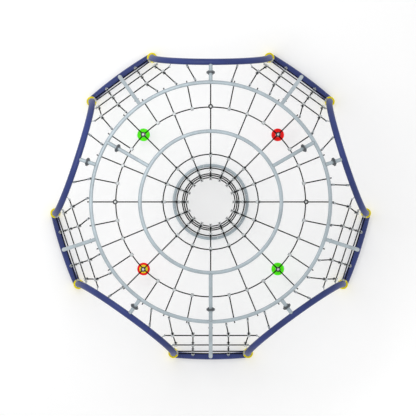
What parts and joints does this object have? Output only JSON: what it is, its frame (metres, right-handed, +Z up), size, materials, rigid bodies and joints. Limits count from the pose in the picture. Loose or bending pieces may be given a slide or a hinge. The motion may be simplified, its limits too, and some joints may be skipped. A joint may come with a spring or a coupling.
{
  "type": "dome climber",
  "caption": "Dome-shaped playground climber: blue tube arches and rope netting around a rope funnel, with hanging discs to swing on.",
  "frame": {"origin": "on the ground, at the middle of the ground ring, on the five-fold axis of the frame", "axes": "+Z up; +Y towards the arch at the top of the plan, +X to its right seen from above"},
  "size_m": [5.0648, 4.8462, 1.8801],
  "materials": {
    "blue_tube": "satin powder coat",
    "galvanised": "hot-dip galvanised, dull",
    "flange": "dark grey, dull",
    "bolt": "zinc plated",
    "yellow_socket": "glossy",
    "rope": "braided steel-core rope, matte",
    "clamp": "cast, dull",
    "fitting": "pressed, dull",
    "black_ring": "matte",
    "green_disc": "glossy",
    "red_disc": "glossy",
    "yellow_disc": "glossy",
    "black_plastic": "matte"
  },
  "bodies": {
    "frame": {"arch_1": "blue_tube", "arch_2": "blue_tube", "arch_3": "blue_tube", "arch_4": "blue_tube", "arch_5": "blue_tube", "base_rails": "blue_tube", "foot_sockets": "yellow_socket", "socket_screws": "bolt", "outer_ring": "galvanised", "ring_splices": "galvanised", "top_ring": "galvanised", "ground_ring": "galvanised", "arch_stubs": "galvanised", "outer_ring_stubs": "galvanised", "spokes": "galvanised", "flanges": "flange", "flange_bolts": "bolt", "flange_nuts": "bolt", "posts": "galvanised", "post_spigots": "galvanised", "post_bolts": "bolt", "meridian_ropes": "rope", "dome_ropes": "rope", "dome_rope_ring": "rope", "funnel_rope_rings": "rope", "panel_rows": "rope", "panel_drops": "rope", "arch_ties": "rope", "dome_clamps": "clamp", "funnel_clamps": "clamp", "panel_clamps": "clamp", "top_ring_holders": "fitting", "outer_ring_holders": "fitting", "panel_holders": "fitting", "row_holders": "fitting", "rope_feet": "fitting", "node_rings": "black_ring", "hanger_clamps": "clamp", "hanger_pins": "bolt"},
    "link_ne_body": {"link_ne": "galvanised"},
    "swing_ne": {"fork_ne": "galvanised", "rope_ne": "rope", "disc_ne": "red_disc", "stop_ne": "black_plastic"},
    "link_nw_body": {"link_nw": "galvanised"},
    "swing_nw": {"fork_nw": "galvanised", "rope_nw": "rope", "disc_nw": "green_disc", "stop_nw": "black_plastic"},
    "link_sw_body": {"link_sw": "galvanised"},
    "swing_sw": {"fork_sw": "galvanised", "rope_sw": "rope", "disc_sw": "red_disc", "stop_sw": "black_plastic", "top_disc_sw": "yellow_disc"},
    "link_se_body": {"link_se": "galvanised"},
    "swing_se": {"fork_se": "galvanised", "rope_se": "rope", "disc_se": "green_disc", "stop_se": "black_plastic"}
  },
  "joints": [
    {"name": "swing_ne_across", "type": "hinge", "parent": "frame", "child": "link_ne_body", "pos_m": [1.05925, 1.05925, 1.62648], "axis": [-0.7071, 0.7071, 0], "range_deg": [-30, 30]},
    {"name": "swing_ne_along", "type": "hinge", "parent": "link_ne_body", "child": "swing_ne", "pos_m": [1.05925, 1.05925, 1.58248], "axis": [0.7071, 0.7071, 0], "range_deg": [-30, 30]},
    {"name": "swing_nw_across", "type": "hinge", "parent": "frame", "child": "link_nw_body", "pos_m": [-1.05925, 1.05925, 1.62648], "axis": [-0.7071, -0.7071, 0], "range_deg": [-30, 30]},
    {"name": "swing_nw_along", "type": "hinge", "parent": "link_nw_body", "child": "swing_nw", "pos_m": [-1.05925, 1.05925, 1.58248], "axis": [-0.7071, 0.7071, 0], "range_deg": [-30, 30]},
    {"name": "swing_sw_across", "type": "hinge", "parent": "frame", "child": "link_sw_body", "pos_m": [-1.05925, -1.05925, 1.62648], "axis": [0.7071, -0.7071, 0], "range_deg": [-30, 30]},
    {"name": "swing_sw_along", "type": "hinge", "parent": "link_sw_body", "child": "swing_sw", "pos_m": [-1.05925, -1.05925, 1.58248], "axis": [-0.7071, -0.7071, 0], "range_deg": [-30, 30]},
    {"name": "swing_se_across", "type": "hinge", "parent": "frame", "child": "link_se_body", "pos_m": [1.05925, -1.05925, 1.62648], "axis": [0.7071, 0.7071, 0], "range_deg": [-30, 30]},
    {"name": "swing_se_along", "type": "hinge", "parent": "link_se_body", "child": "swing_se", "pos_m": [1.05925, -1.05925, 1.58248], "axis": [0.7071, -0.7071, 0], "range_deg": [-30, 30]}
  ]
}
